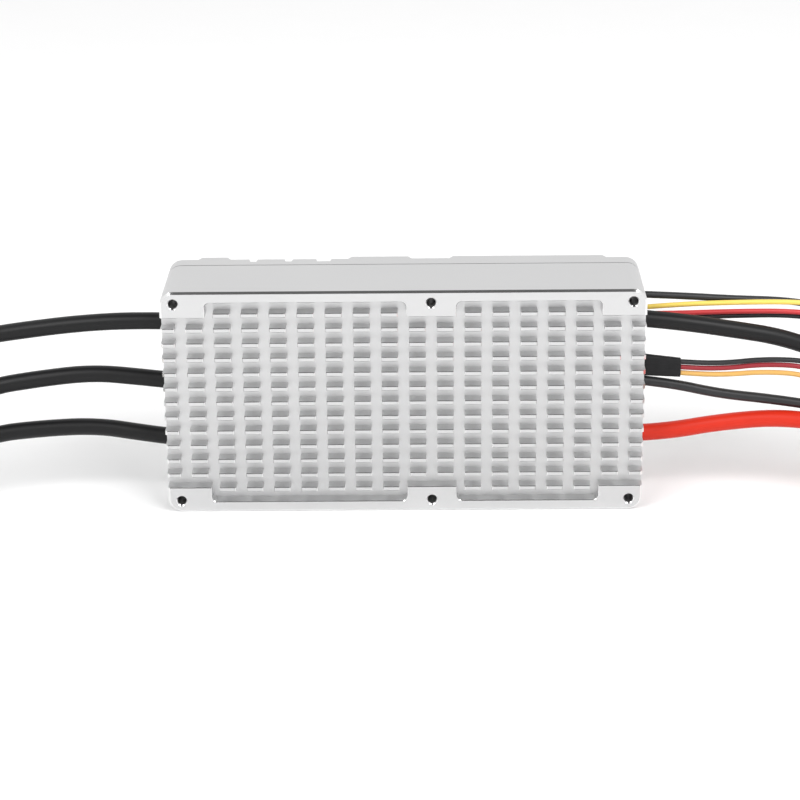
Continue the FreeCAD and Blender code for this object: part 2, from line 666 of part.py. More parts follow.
def bullet(route):
    """A gold bullet: a solder cup over the wire's end and a slotted pin."""
    cup = Part.makeCylinder(CUP / 2, CUP_LENGTH, Vector(-CUP_LENGTH + 2, 0, 0), Vector(1, 0, 0))
    neck = Part.makeCylinder(BULLET / 2 - 0.5, 2, Vector(2, 0, 0), Vector(1, 0, 0))
    pin = Part.makeCylinder(BULLET / 2, BULLET_LENGTH - 1, Vector(4, 0, 0), Vector(1, 0, 0))
    tip = Part.makeCone(
        BULLET / 2, BULLET / 2 - 1, 1, Vector(3 + BULLET_LENGTH, 0, 0), Vector(1, 0, 0)
    )
    body = cup.fuse([neck, pin, tip]).removeSplitter()
    slots = [box(5, 4 + BULLET_LENGTH - 2.5, -0.35, 0.35, 0.8, BULLET)]
    slots += [box(5, 4 + BULLET_LENGTH - 2.5, -0.35, 0.35, -BULLET, -0.8)]
    slots += [box(5, 4 + BULLET_LENGTH - 2.5, 0.8, BULLET, -0.35, 0.35)]
    slots += [box(5, 4 + BULLET_LENGTH - 2.5, -BULLET, -0.8, -0.35, 0.35)]
    return placed(body.cut(slots), route).cut(tube(route[-4:], POWER_WIRE))


def shrink_sleeve(route):
    """Heat-shrink tube over a solder cup."""
    x0 = -CUP_LENGTH + 2
    outer = Part.makeCylinder(CUP / 2 + SHRINK_WALL, CUP_LENGTH, Vector(x0, 0, 0), Vector(1, 0, 0))
    inner = Part.makeCylinder(CUP / 2, CUP_LENGTH, Vector(x0, 0, 0), Vector(1, 0, 0))
    return placed(outer.cut(inner), route).cut(tube(route[-4:], POWER_WIRE))


def contact_ways(size, floor, ways, pitch, x0, x1, low, high):
    """One block in each way of a plug; low and high are shares of its thickness."""
    thick = size[2]
    half = 0.22 * pitch
    blocks = []
    for way in range(ways):
        y = (way - (ways - 1) / 2) * pitch
        blocks.append(box(x0, x1, y - half, y + half, floor + low * thick, floor + high * thick))
    return blocks


def plug(route, size, wires, diameter, ways, pitch):
    """A flat plastic plug on a lead's end, lying on the table, with its mouths and windows."""
    length, width, thick = size
    floor = -route[-1][2]
    body = box(0, length, -width / 2, width / 2, floor, floor + thick)
    body = body.makeChamfer(0.3, edges_along(body, "x"))
    body = body.cut(contact_ways(size, floor, ways, pitch, 0.35 * length, length + 1, 0.25, 0.72))
    windows = contact_ways(
        size, floor, ways, pitch, 0.35 * length, 0.6 * length, 0.5, 1.2
    )
    body = body.cut(windows)
    return placed(body, route).cut([tube(wire[-4:], diameter) for wire in wires])


def contacts(route, size, ways, pitch):
    """The sprung sockets inside a plug, one on the floor of each mouth."""
    length = size[0]
    blocks = contact_ways(
        size, -route[-1][2], ways, pitch, 0.35 * length, length - 0.8, 0.25, 0.5
    )
    return [placed(block, route) for block in blocks]


def lead_sleeve():
    """Flat heat-shrink sleeve over the three wires of the program lead."""
    routes = list(PROGRAM_WIRES.values())
    sections = []
    for x, height, width in ((HALF, 8.4, 3.4), (HALF + 14.5, 7.2, 3.2)):
        share = (x - WALL_X) / (routes[1][1][0] - WALL_X)
        z = routes[1][0][2] + share * (routes[1][1][2] - routes[1][0][2])
        half = (height - width) / 2
        y = routes[1][0][1]
        r = width / 2
        top = [Vector(x, y - r, z + half), Vector(x, y, z + half + r), Vector(x, y + r, z + half)]
        low = [Vector(x, y + r, z - half), Vector(x, y, z - half - r), Vector(x, y - r, z - half)]
        edges = [
            Part.Arc(*top).toShape(), Part.LineSegment(top[2], low[0]).toShape(),
            Part.Arc(*low).toShape(), Part.LineSegment(low[2], top[0]).toShape(),
        ]
        sections.append(Part.Wire(edges))
    body = Part.makeLoft(sections, True, True)
    return body.cut([tube(route, SIGNAL_WIRE) for route in routes])


def save(name, shapes):
    """Write one node, after checking that every solid in it is sound."""
    solids = shapes if isinstance(shapes, list) else [shapes]
    solids = [solid for shape in solids for solid in shape.Solids]
    for solid in solids:
        if not solid.isValid() or solid.Volume <= 0:
            print("NOT SOUND", name)
    shape = solids[0] if len(solids) == 1 else Part.makeCompound(solids)
    shape.exportStep(f"parts/{name}.step")
    print(name, len(solids), f"{shape.Volume:.1f} mm3")


os.makedirs("parts", exist_ok=True)

save("heatsink_case", heatsink_case())
save("cover_gasket", cover_gasket())
save("back_cover", back_cover())
save("cover_screws", cover_screws())
for seal_name in ("motor_seals", "battery_seals", "throttle_seal", "data_seal", "program_seal"):
    save(seal_name, seals(seal_name))

save("thermal_pad", thermal_pad())
save("power_transistors", power_transistors())
save("power_board", power_board())
save("board_screws", board_screws())
save("phase_terminals", [lug(route, -1) for route in MOTOR_WIRES.values()])
save("busbar_positive", busbar(BATTERY_WIRES["battery_wire_positive"], BOARD_LOW + 9))
save("busbar_negative", busbar(BATTERY_WIRES["battery_wire_negative"], HEIGHT - BOARD_LOW - 17))
save("bulk_capacitors", capacitors())
save("gate_drivers", chips([(x, HEIGHT / 2) for x in (24, 38, 52)], (5, 1, 6), BOARD_BACK))
save("current_shunts", chips([(-63, z) for z in (34, 52)], (3.2, 1, 6.4), BOARD_BACK))
save("board_standoffs", standoffs())
save("control_board", control_board())
save("control_board_screws", control_board_screws())
save("microcontroller", chips([(36, HEIGHT / 2)], (10, 1.4, 10), CONTROL_BACK))
save("interface_chips", chips([(58, z) for z in (28, 40, 52)], (5, 1.5, 4), CONTROL_BACK))
save("regulator_inductor", chips([(20, 26)], (6.5, 3.5, 6.5), CONTROL_BACK))
save("board_header", box(16, 18.5, BOARD_BACK, CONTROL_FRONT, 36, 56))
save("signal_sockets", signal_sockets())

for wires, diameter in (
    (MOTOR_WIRES, POWER_WIRE), (BATTERY_WIRES, POWER_WIRE), (THROTTLE_WIRES, SIGNAL_WIRE),
    (PROGRAM_WIRES, SIGNAL_WIRE), ({"data_cable": DATA_ROUTE}, DATA_CABLE),
    ({"link_cable": LINK_ROUTE}, LINK_CABLE),
):
    for name, route in wires.items():
        save(name, tube(route, diameter, []))
for wires in (MOTOR_WIRES, BATTERY_WIRES):
    for name, route in wires.items():
        save(name.replace("_wire_", "_bullet_"), bullet(route))
        save(name.replace("_wire_", "_shrink_"), shrink_sleeve(route))
save("program_sleeve", lead_sleeve())
sockets = []
for name, route, size, wires, diameter, ways, pitch in (
    ("throttle_plug", THROTTLE_WIRES["throttle_wire_red"], SERVO_PLUG,
     list(THROTTLE_WIRES.values()), SIGNAL_WIRE, 3, SERVO_PITCH),
    ("program_plug", PROGRAM_WIRES["program_wire_red"], SERVO_PLUG,
     list(PROGRAM_WIRES.values()), SIGNAL_WIRE, 3, SERVO_PITCH),
    ("data_plug", DATA_ROUTE, DATA_PLUG, [DATA_ROUTE], DATA_CABLE, 4, SMALL_PITCH),
    ("link_plug", LINK_ROUTE, LINK_PLUG, [LINK_ROUTE], LINK_CABLE, 4, SMALL_PITCH),
):
    save(name, plug(route, size, wires, diameter, ways, pitch))
    sockets += contacts(route, size, ways, pitch)
save("plug_contacts", sockets)
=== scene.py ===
import math

import bpy
import numpy as np
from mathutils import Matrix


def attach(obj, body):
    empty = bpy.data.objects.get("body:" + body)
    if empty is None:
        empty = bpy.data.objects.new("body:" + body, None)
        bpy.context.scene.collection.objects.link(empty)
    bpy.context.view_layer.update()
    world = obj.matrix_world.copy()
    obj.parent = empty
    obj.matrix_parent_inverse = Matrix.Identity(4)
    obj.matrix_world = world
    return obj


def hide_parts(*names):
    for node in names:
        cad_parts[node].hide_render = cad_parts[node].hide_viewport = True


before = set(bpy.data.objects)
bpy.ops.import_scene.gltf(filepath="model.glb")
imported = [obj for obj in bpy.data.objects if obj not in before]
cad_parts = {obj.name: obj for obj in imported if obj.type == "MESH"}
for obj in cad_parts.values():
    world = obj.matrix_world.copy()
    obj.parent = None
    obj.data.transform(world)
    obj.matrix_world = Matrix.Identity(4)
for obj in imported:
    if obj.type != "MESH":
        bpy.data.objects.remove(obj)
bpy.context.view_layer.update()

# Finned case: one block of aluminium, milled all over and then bead-blasted to a pale satin
# grey. The cutter leaves the blades square, and every outer edge is broken with a small
# chamfer that stays brighter than the blasted faces.


class Field:
    """A value in a finish's nodes. Arithmetic on it adds the Math nodes that work it out."""

    def __init__(self, finish, socket):
        self.finish = finish
        self.socket = socket

    def math(self, operation, *values):
        """One Math node over two or three values, in the order of the formula."""
        return self.finish.node("Math", {"operation": operation}, dict(enumerate(values)))

    def __add__(self, other):
        return self.math("ADD", self, other)

    def __radd__(self, other):
        return self.math("ADD", other, self)

    def __sub__(self, other):
        return self.math("SUBTRACT", self, other)

    def __rsub__(self, other):
        return self.math("SUBTRACT", other, self)

    def __mul__(self, other):
        return self.math("MULTIPLY", self, other)

    def __rmul__(self, other):
        return self.math("MULTIPLY", other, self)

    def __abs__(self):
        return self.math("ABSOLUTE", self)

    def step(self, low, high):
        """0 below low and 1 above high, with a smooth rise between them."""
        return self.finish.node(
            "MapRange", {"interpolation_type": "SMOOTHSTEP"},
            {"Value": self, "From Min": low, "From Max": high},
        )


class Nodes:
    """A node tree in the making, with one way to add nodes to it."""

    def __init__(self, tree, shader):
        self.tree = tree
        self.shader = tree.nodes[shader]

    def plug(self, socket, value):
        """Link a value that varies, or set one that doesn't, on a socket."""
        if isinstance(value, Field):
            self.tree.links.new(value.socket, socket)
        elif socket.type == "RGBA" and len(value) == 3:
            socket.default_value = (*value, 1.0)
        else:
            socket.default_value = value

    def feed(self, socket, value):
        """Give the main shader's socket its value; an underscore stands for a space."""
        self.plug(self.shader.inputs[socket.replace("_", " ")], value)

    def node(self, kind, settings=None, inputs=None, output=0):
        """A new node: its settings first, then the values or links of its sockets."""
        made = self.tree.nodes.new("ShaderNode" + kind)
        for setting, value in (settings or {}).items():
            setattr(made, setting, value)
        for socket, value in (inputs or {}).items():
            self.plug(made.inputs[socket], value)
        return Field(self, made.outputs[output])

    def blend(self, first, second, share):
        """Colours mixed by a share: 0 gives the first, 1 the second."""
        return self.node("Mix", {"data_type": "RGBA"}, {0: share, 6: first, 7: second}, 2)

    def axes(self, direction):
        """The three numbers of a vector."""
        parts = self.node("SeparateXYZ", None, {0: direction}).socket.node
        return [Field(self, number) for number in parts.outputs]


class Finish(Nodes):
    """A material in the making, with the patterns that finishes are made of."""

    def __init__(self, name, **fixed):
        self.material = bpy.data.materials.new(name)
        self.material.use_nodes = True
        super().__init__(self.material.node_tree, "Principled BSDF")
        for socket, value in fixed.items():
            self.feed(socket, value)

    def place(self, stretch=(1, 1, 1), coordinate="Object"):
        """Where a point is, in metres, stretched along each axis."""
        point = self.node("TexCoord", output=coordinate)
        return self.node("Mapping", None, {"Vector": point, "Scale": stretch})

    def noise(self, scale, detail=2.0, roughness=0.5, stretch=(1, 1, 1), coordinate="Object"):
        """Cloudy noise between 0 and 1, about one lump in 1 / scale metres."""
        return self.node("TexNoise", None, {
            "Vector": self.place(stretch, coordinate), "Scale": scale, "Detail": detail,
            "Roughness": roughness,
        })

    def relief(self, height, depth, strength=1.0):
        """Bump of a height between 0 and 1 that stands for so many metres."""
        self.feed("Normal", self.node("Bump", None, {
            "Strength": strength, "Distance": depth, "Height": height,
        }))


BLASTED_DARK = (0.645, 0.645, 0.65)
BLASTED_PALE = (0.70, 0.70, 0.70)
SCUFF = (0.63, 0.63, 0.64)
CUT_EDGE = (0.88, 0.88, 0.88)
GRIT_DEPTH = 0.00002


def aluminium(name, grain, shine):
    """Blasted aluminium: a pale metal with a fine matt grain and faint cloudy handling marks.

    Faces that lie at a slant between the axes are chamfers, cut after the blasting, so they
    are smoother. The share of such a face is how far its normal leans between Y and another
    axis: 4 * |y| * (|x| + |z|) is 2 on a chamfer at 45 degrees and 0 on a flat face.
    """
    metal = Finish(name, Metallic=1.0)
    clouds = metal.noise(22, 3)
    grit = metal.noise(2600, 1)
    scuffs = metal.noise(240, 4, 0.7, (1, 1, 3)).step(0.60, 0.78)
    lean = [abs(number) for number in metal.axes(metal.node("TexCoord", output="Normal"))]
    chamfer = (lean[1] * (lean[0] + lean[2]) * 4).step(0.7, 1.6)
    body = metal.blend(BLASTED_DARK, BLASTED_PALE, clouds)
    body = metal.blend(body, SCUFF, scuffs * 0.25)
    metal.feed("Base Color", metal.blend(body, CUT_EDGE, chamfer))
    matt = clouds * 0.06 + grit * 0.10 + (grain - 0.08) - scuffs * 0.05
    metal.feed("Roughness", matt * (1 - chamfer) + chamfer * shine)
    metal.relief(grit, GRIT_DEPTH, 0.35)
    return metal.material


def dress(node, material):
    """Give a part that keeps its own shape its finish."""
    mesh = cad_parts[node].data
    mesh.materials.clear()
    mesh.materials.append(material)


case_metal = aluminium("blasted_aluminium", grain=0.42, shine=0.16)
dress("heatsink_case", case_metal)

# Cover: the same aluminium, milled with three raised pads, three grooves and a shallow
# pocket for a label. It closes the case from behind on a thin black rubber seal, under eight
# cap screws sunk in counterbores.
dress("back_cover", case_metal)
seal = Finish("seal_rubber", Roughness=0.62, Specular_IOR_Level=0.3)
RUBBER_DARK = (0.012, 0.012, 0.012)
RUBBER_PALE = (0.03, 0.03, 0.031)
seal.feed("Base Color", seal.blend(RUBBER_DARK, RUBBER_PALE, seal.noise(400, 3)))
seal.relief(seal.noise(3000, 2), 0.00002, 0.4)
for node in (
    "cover_gasket", "motor_seals", "battery_seals", "throttle_seal", "data_seal", "program_seal",
):
    dress(node, seal.material)

# Screws: stainless cap screws, turned heads with a knurl too fine to feel. Eight of them hold
# the cover, and smaller ones hold the two boards inside.
STEEL_DARK = (0.42, 0.42, 0.43)
STEEL_PALE = (0.62, 0.61, 0.60)
steel = Finish("screw_steel", Metallic=1.0)
steel.feed("Base Color", steel.blend(STEEL_DARK, STEEL_PALE, steel.noise(500, 3)))
steel.feed("Roughness", steel.noise(1500, 2) * 0.15 + 0.22)
for node in ("cover_screws", "board_screws", "control_board_screws"):
    dress(node, steel.material)

# Inside the case: two boards with their transistors, chips, sockets and capacitors, copper bars
# and lugs for the heavy current, and a soft sheet that carries the heat to the case.


def inner(name, first, second, roughness, metallic, *nodes):
    """A plain finish for what is shut inside: two close colours in a fine mottle."""
    made = Finish(name, Metallic=metallic)
    mottle = made.noise(700, 3)
    made.feed("Base Color", made.blend(first, second, mottle))
    made.feed("Roughness", mottle * 0.12 + roughness)
    for node in nodes:
        dress(node, made.material)


inner("thermal_sheet", (0.30, 0.33, 0.36), (0.36, 0.39, 0.42), 0.6, 0.0, "thermal_pad")
inner("moulded_package", (0.015, 0.015, 0.016), (0.03, 0.03, 0.031), 0.45, 0.0,
      "power_transistors", "gate_drivers", "microcontroller", "interface_chips",
      "regulator_inductor", "board_header", "signal_sockets")
inner("board_lacquer", (0.010, 0.075, 0.035), (0.014, 0.095, 0.045), 0.3, 0.0,
      "power_board", "control_board")
inner("tinned_copper", (0.70, 0.38, 0.24), (0.80, 0.47, 0.30), 0.25, 1.0,
      "phase_terminals", "busbar_positive", "busbar_negative", "current_shunts")
inner("can_sleeve", (0.02, 0.02, 0.025), (0.035, 0.035, 0.04), 0.3, 0.0, "bulk_capacitors")
inner("brass_post", (0.55, 0.42, 0.20), (0.65, 0.50, 0.25), 0.3, 1.0, "board_standoffs")

# Power wires: fine-stranded copper in thick soft silicone. They leave the end walls level,
# droop under their own weight and lie on the table at their connectors.


def centre_line(route, step):
    """Points along a route's smooth line, evenly spaced.

    The line is a spline of order three that the route's points pull on. Its points are read
    off, and then set at equal distances by their running length.
    """
    curve = bpy.data.curves.new("centre_line", "CURVE")
    curve.dimensions = "3D"
    spline = curve.splines.new("NURBS")
    spline.points.add(len(route) - 1)
    spline.points.foreach_set("co", np.c_[route, np.ones(len(route))].ravel())
    spline.order_u = 3
    spline.use_endpoint_u = True
    spline.resolution_u = 16
    holder = bpy.data.objects.new("centre_line", curve)
    bpy.context.scene.collection.objects.link(holder)
    graph = bpy.context.evaluated_depsgraph_get()
    mesh = bpy.data.meshes.new_from_object(holder.evaluated_get(graph))
    points = np.empty(len(mesh.vertices) * 3)
    mesh.vertices.foreach_get("co", points)
    points = points.reshape(-1, 3)
    bpy.data.objects.remove(holder)
    bpy.data.curves.remove(curve)
    bpy.data.meshes.remove(mesh)
    run = np.r_[0, np.cumsum(np.linalg.norm(np.diff(points, axis=0), axis=1))]
    even = np.linspace(0, run[-1], max(int(run[-1] / step), 8))
    return np.stack([np.interp(even, run, points[:, k]) for k in range(3)], 1)


def across(line):
    """Two directions square to a line at each of its points, and the line's own.

    A fixed slanting direction, with its part along the line taken out, gives the first; the
    cross product of line and first gives the second.
    """
    along = np.gradient(line, axis=0)
    along /= np.linalg.norm(along, axis=1)[:, None]
    slant = np.array([0.5, 0.5, 0.7])
    first = slant - (along @ slant)[:, None] * along
    first /= np.linalg.norm(first, axis=1)[:, None]
    return first, np.cross(along, first), along


def skin(name, rings, material):
    """A closed skin over rings of points, ring i's point j at rings[i, j].

    Each point is joined to the next in its ring, the last to the first, and to its fellow in
    the next ring; a point in the middle closes each end. The map's first number is the
    length in metres along the rings, its second the share of a turn round them.
    """
    count, sides = rings.shape[:2]
    middles = rings.mean(1)
    i, j = np.meshgrid(np.arange(count - 1), np.arange(sides), indexing="ij")
    here, there = i * sides + j, i * sides + (j + 1) % sides
    quads = np.stack([here, there, there + sides, here + sides], -1).reshape(-1, 4)
    turn = np.arange(sides)
    after = (turn + 1) % sides
    last = (count - 1) * sides
    ends = count * sides
    front = np.stack([np.full(sides, ends), after, turn], 1)
    back = np.stack([np.full(sides, ends + 1), last + turn, last + after], 1)
    points = np.vstack([rings.reshape(-1, 3), middles[:1], middles[-1:]])
    mesh = bpy.data.meshes.new(name)
    mesh.from_pydata(points, [], quads.tolist() + front.tolist() + back.tolist())
    run = np.r_[0, np.cumsum(np.linalg.norm(np.diff(middles, axis=0), axis=1))]
    i, j = i.ravel(), j.ravel()
    map_quads = np.stack([
        np.stack([run[i], run[i], run[i + 1], run[i + 1]], 1),
        np.stack([j, j + 1, j + 1, j], 1) / sides,
    ], -1)
    map_ends = np.zeros((2 * sides * 3, 2))
    map_ends[sides * 3:, 0] = run[-1]
    layer = mesh.uv_layers.new(name="surface")
    layer.data.foreach_set("uv", np.vstack([map_quads.reshape(-1, 2), map_ends]).ravel())
    mesh.polygons.foreach_set("use_smooth", np.ones(len(mesh.polygons), bool))
    mesh.materials.append(material)
    mesh.validate()
    piece = bpy.data.objects.new(name, mesh)
    bpy.context.scene.collection.objects.link(piece)
    return piece


def round_lead(name, route, diameter, material, sides, step, uneven=0.0):
    """A round lead round its centre line.

    A point of it is the line's point, plus the radius times the first direction's cosine and
    the second's sine. The radius swells and narrows a little by two slow sine waves.
    """
    line = centre_line(np.array(route), step)
    first, second, _ = across(line)
    run = np.linspace(0, len(line) * step, len(line))
    swell = np.sin(run * 143.0) + 0.7 * np.sin(run * 331.0 + 1.3)
    radius = diameter / 2 * (1 + uneven * swell)
    angle = np.linspace(0, 2 * math.pi, sides, endpoint=False)
    round_it = (
        first[:, None] * np.cos(angle)[None, :, None]
        + second[:, None] * np.sin(angle)[None, :, None]
    )
    rings = line[:, None] + radius[:, None, None] * round_it
    return skin(name, rings, material), line


def silicone(name, dark, pale, roughness, sheen=0.22):
    """Soft silicone: a dull sheen, faint lengthwise streaks from the die, and dust."""
    rubber = Finish(name, Specular_IOR_Level=sheen)
    streaks = rubber.noise(1.0, 2, 0.5, (60, 26, 1), "UV")
    mottle = rubber.noise(330, 3)
    dust = rubber.noise(1900, 2, 0.6).step(0.66, 0.80)
    colour = rubber.blend(dark, pale, mottle * 0.5 + streaks * 0.5)
    dusty = tuple(k * 0.9 + 0.06 for k in pale)
    rubber.feed("Base Color", rubber.blend(colour, dusty, dust * 0.35))
    rubber.feed("Roughness", streaks * 0.14 + dust * 0.2 + roughness)
    rubber.relief(streaks, 0.00006, 0.4)
    return rubber.material


black_silicone = silicone(
    "black_silicone", (0.002, 0.002, 0.0025), (0.005, 0.005, 0.0055), 0.36, 0.32,
)
red_silicone = silicone("red_silicone", (0.58, 0.020, 0.005), (0.66, 0.027, 0.008), 0.36, 0.30)

POWER_WIRE = 0.0063
MOTOR_ROUTES = {
    "a": [
        (-0.0835, -0.002, 0.0682), (-0.098, -0.002, 0.0686), (-0.117, -0.001, 0.0674),
        (-0.138, 0.001, 0.0643), (-0.157, 0.004, 0.0604), (-0.173, 0.008, 0.0495),
        (-0.185, 0.012, 0.035), (-0.197, 0.016, 0.02), (-0.209, 0.0185, 0.0097),
        (-0.221, 0.0198, 0.0051), (-0.232, 0.0205, 0.0042),
    ],
    "b": [
        (-0.0835, -0.002, 0.0448), (-0.097, -0.002, 0.0465), (-0.115, -0.002, 0.0483),
        (-0.135, -0.002, 0.046), (-0.155, -0.002, 0.0426), (-0.173, -0.0015, 0.031),
        (-0.187, -0.0005, 0.0175), (-0.2, 0.0003, 0.0083), (-0.212, 0.001, 0.0047),
        (-0.223, 0.0015, 0.0042),
    ],
    "c": [
        (-0.0835, -0.002, 0.0223), (-0.096, -0.002, 0.024), (-0.114, -0.003, 0.0276),
        (-0.134, -0.005, 0.0275), (-0.154, -0.008, 0.0263), (-0.172, -0.013, 0.0185),
        (-0.187, -0.0175, 0.01), (-0.201, -0.0215, 0.0051), (-0.215, -0.025, 0.0042),
    ],
}
BATTERY_ROUTES = {
    "negative": [
        (0.0835, -0.002, 0.0684), (0.098, -0.002, 0.067), (0.118, -0.001, 0.0636),
        (0.14, 0.001, 0.0592), (0.16, 0.004, 0.05), (0.176, 0.007, 0.036),
        (0.189, 0.0093, 0.0215), (0.2, 0.0105, 0.0115), (0.211, 0.011, 0.0061),
        (0.223, 0.0113, 0.0042),
    ],
    "positive": [
        (0.0835, -0.002, 0.0229), (0.097, -0.002, 0.0235), (0.116, -0.0035, 0.0276),
        (0.138, -0.007, 0.031), (0.158, -0.012, 0.0298), (0.175, -0.0185, 0.022),
        (0.187, -0.0236, 0.0125), (0.199, -0.0276, 0.0064), (0.21, -0.03, 0.0045),
        (0.221, -0.031, 0.0042),
    ],
}

# Shrunk tubes: heat-shrink over each power wire's last stretch and the solder cup that it
# enters. They are black, and red on the positive battery wire.
SHRINK_WALL = 0.00035
CUP_RADIUS = 0.0035
CUP_LENGTH = 0.006
CUP_REACH = 0.002
STEP_BEFORE_CUP = 0.0012
STEP_LENGTH = 0.0016
COVERED_POINTS = 18
MOUTH_INSIDE = 0.0006
CREASE = 0.00004
shrink_black = silicone("black_shrink", (0.008, 0.008, 0.009), (0.016, 0.016, 0.017), 0.42)
shrink_red = silicone("red_shrink", (0.42, 0.012, 0.010), (0.5, 0.02, 0.015), 0.42)


def shrunk_tube(name, line, material):
    """Heat-shrink over the wire's last stretch and the solder cup that it enters.

    Along the line the radius rises from the wire's to the cup's by 3 s^2 - 2 s^3, with
    shallow creases given by the sine of seven turns round it. Both mouths are rolled in: the
    edge's points turn half round a circle of the wall's thickness, from outside to inside.
    """
    way = line[-1] - line[-2]
    way /= np.linalg.norm(way)
    onto_cup = line[-1] + way * np.linspace(0.0004, CUP_REACH, 6)[:, None]
    line = np.vstack([line[-COVERED_POINTS:], onto_cup])
    first, second, _ = across(line)
    run = np.r_[0, np.cumsum(np.linalg.norm(np.diff(line, axis=0), axis=1))]
    swelling_from = run[-1] - CUP_LENGTH - CUP_REACH - STEP_BEFORE_CUP
    rise = np.clip((run - swelling_from) / STEP_LENGTH, 0, 1)
    radius = POWER_WIRE / 2 + (CUP_RADIUS - POWER_WIRE / 2) * rise * rise * (3 - 2 * rise)
    turn = np.linspace(0, math.pi, 7)
    roll = SHRINK_WALL / 2
    inward = roll * (1 - np.cos(turn))
    onward = roll * np.sin(turn)
    depth = np.r_[2 * roll, inward[::-1], np.zeros(len(line) - 2), inward, 2 * roll]
    along = np.r_[
        MOUTH_INSIDE, roll - onward[::-1], run[1:-1],
        run[-1] - roll + onward, run[-1] - MOUTH_INSIDE,
    ]
    spots = np.stack([np.interp(along, run, line[:, k]) for k in range(3)], 1)
    one = np.stack([np.interp(along, run, first[:, k]) for k in range(3)], 1)
    two = np.stack([np.interp(along, run, second[:, k]) for k in range(3)], 1)
    angle = np.linspace(0, 2 * math.pi, 40, endpoint=False)
    folds = np.sin(7 * angle[None, :] + 900 * along[:, None])
    crease = CREASE * folds * (depth == 0)[:, None]
    size = (np.interp(along, run, radius) + SHRINK_WALL - depth)[:, None] + crease
    rings = (
        spots[:, None] + (one[:, None] * np.cos(angle)[:, None]) * size[:, :, None]
        + (two[:, None] * np.sin(angle)[:, None]) * size[:, :, None]
    )
    return skin(name, rings, material)


def power_lead(kind, letter, route, material):
    """One power wire, from its seal to its bullet connector, and the tube shrunk over both."""
    piece, line = round_lead(
        f"{kind}_lead_{letter}", route, POWER_WIRE, material, 40, 0.0008, 0.004,
    )
    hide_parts(f"{kind}_wire_{letter}")
    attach(piece, "root")
    red = letter == "positive"
    shrink = shrink_red if red else shrink_black
    tube = shrunk_tube(f"{kind}_shrunk_tube_{letter}", line, shrink)
    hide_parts(f"{kind}_shrink_{letter}")
    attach(tube, "root")


power_lead("motor", "a", MOTOR_ROUTES["a"], black_silicone)
power_lead("motor", "b", MOTOR_ROUTES["b"], black_silicone)
power_lead("motor", "c", MOTOR_ROUTES["c"], black_silicone)
power_lead(
    "battery", "negative", BATTERY_ROUTES["negative"], black_silicone,
)
power_lead("battery", "positive", BATTERY_ROUTES["positive"], red_silicone)

# Bullet connectors: turned brass, gold-plated, soldered onto the power wires under the shrunk
# tubes. The contacts in the small plugs have the same plating.
GOLD_DARK = (0.83, 0.58, 0.22)
GOLD_PALE = (0.93, 0.68, 0.30)
gold = Finish("gold_plate", Metallic=1.0)
gold.feed("Base Color", gold.blend(GOLD_DARK, GOLD_PALE, gold.noise(500, 3)))
gold.feed("Roughness", gold.noise(1200, 2) * 0.12 + 0.16)
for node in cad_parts:
    if "_bullet_" in node or node == "plug_contacts":
        dress(node, gold.material)

# Servo leads: two leads of three thin wires each, side by side, that hang from the end wall to
# the table and turn back in one flat loop to their plugs.
SIGNAL_WIRE = 0.0019
THROTTLE_ROUTES = {
    "yellow": [
        (0.0835, 0.006, 0.0692), (0.099, 0.006, 0.0705), (0.12, 0.0065, 0.071),
        (0.142, 0.0075, 0.0708), (0.159, 0.01, 0.0685), (0.171, 0.0125, 0.058),
        (0.178, 0.014, 0.042), (0.183, 0.0152, 0.025), (0.19, 0.0159, 0.0105),
        (0.201, 0.0167, 0.0023), (0.213, 0.0173, 0.0012), (0.2225, 0.017, 0.0012),
        (0.2304, 0.0172, 0.0012), (0.2368, 0.0233, 0.0012), (0.2368, 0.0323, 0.0012),
        (0.2304, 0.0384, 0.0012), (0.222, 0.0388, 0.0012), (0.211, 0.0383, 0.0012),
    ],
    "red": [
        (0.0835, 0.006, 0.0671), (0.099, 0.006, 0.0671), (0.12, 0.0065, 0.0675),
        (0.142, 0.0075, 0.0672), (0.157, 0.01, 0.0645), (0.169, 0.013, 0.0545),
        (0.176, 0.015, 0.04), (0.181, 0.0167, 0.024), (0.188, 0.0179, 0.0105),
        (0.2, 0.0187, 0.0023), (0.213, 0.0193, 0.0012), (0.2225, 0.019, 0.0012),
        (0.2296, 0.0192, 0.0012), (0.2347, 0.0241, 0.0012), (0.2347, 0.0315, 0.0012),
        (0.2296, 0.0364, 0.0012), (0.222, 0.0368, 0.0012), (0.211, 0.0363, 0.0012),
    ],
    "black": [
        (0.0835, 0.006, 0.065), (0.099, 0.0066, 0.065), (0.12, 0.0075, 0.0655),
        (0.142, 0.009, 0.0652), (0.156, 0.0115, 0.0622), (0.167, 0.0145, 0.052),
        (0.174, 0.017, 0.038), (0.179, 0.0187, 0.023), (0.186, 0.0199, 0.0105),
        (0.199, 0.0207, 0.0023), (0.213, 0.0213, 0.0012), (0.2225, 0.021, 0.0012),
        (0.2289, 0.0211, 0.0012), (0.2327, 0.0249, 0.0012), (0.2327, 0.0307, 0.0012),
        (0.2289, 0.0345, 0.0012), (0.222, 0.0348, 0.0012), (0.211, 0.0343, 0.0012),
    ],
}
